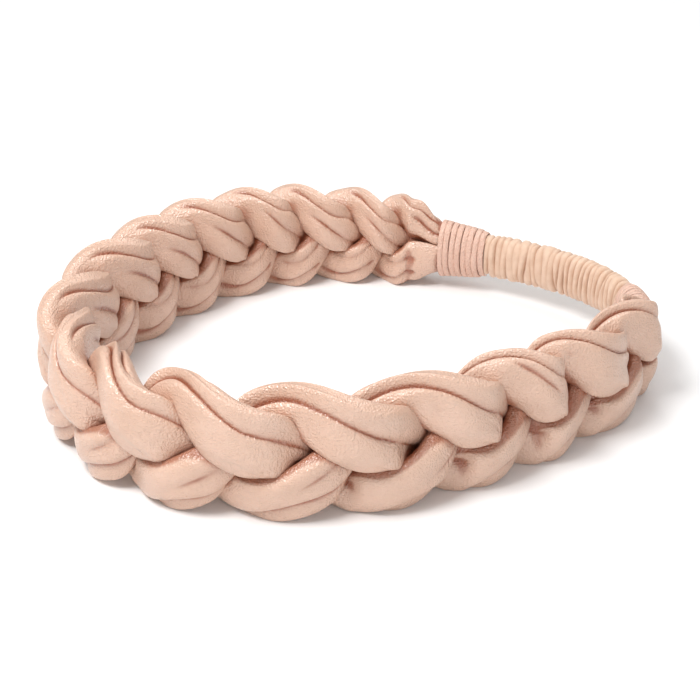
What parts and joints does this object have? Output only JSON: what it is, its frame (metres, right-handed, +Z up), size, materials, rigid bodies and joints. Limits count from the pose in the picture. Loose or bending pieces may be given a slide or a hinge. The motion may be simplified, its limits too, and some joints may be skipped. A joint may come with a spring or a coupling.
{
  "type": "braided headband",
  "caption": "Wide padded headband braided from soft leather tubes, bound with leather lace at both ends and closed by a gathered fabric elastic.",
  "frame": {"origin": "middle of the loop's bounding box, on the surface the band's lower edge stands on", "axes": "+Z up, along the axis of the head; +X along the loop's longer way; -Y is the side of the widest part of the braid, seen from the front"},
  "size_m": [0.2081, 0.1745, 0.0446],
  "materials": {
    "leather": "soft satin, finely grained",
    "lace_leather": "matt, raw cut edges",
    "casing_fabric": "matt stretch fabric, gathered",
    "elastic_webbing": "matt woven elastic"
  },
  "bodies": {
    "left_half": {"strand_a_left": "leather", "strand_b_left": "leather", "strand_c_left": "leather", "left_binding_lace": "lace_leather", "elastic_casing": "casing_fabric", "elastic_core": "elastic_webbing"},
    "right_half": {"strand_a_right": "leather", "strand_b_right": "leather", "strand_c_right": "leather", "right_binding_lace": "lace_leather"}
  },
  "joints": [
    {"name": "loop_opening", "type": "hinge", "parent": "left_half", "child": "right_half", "pos_m": [-0.08675, -0.05827, 0.0219], "axis": [0, 0, -1], "range_deg": [0, 16], "stiffness_Nm_per_rad": 0.08, "deforming": ["elastic_casing", "elastic_core"]}
  ]
}
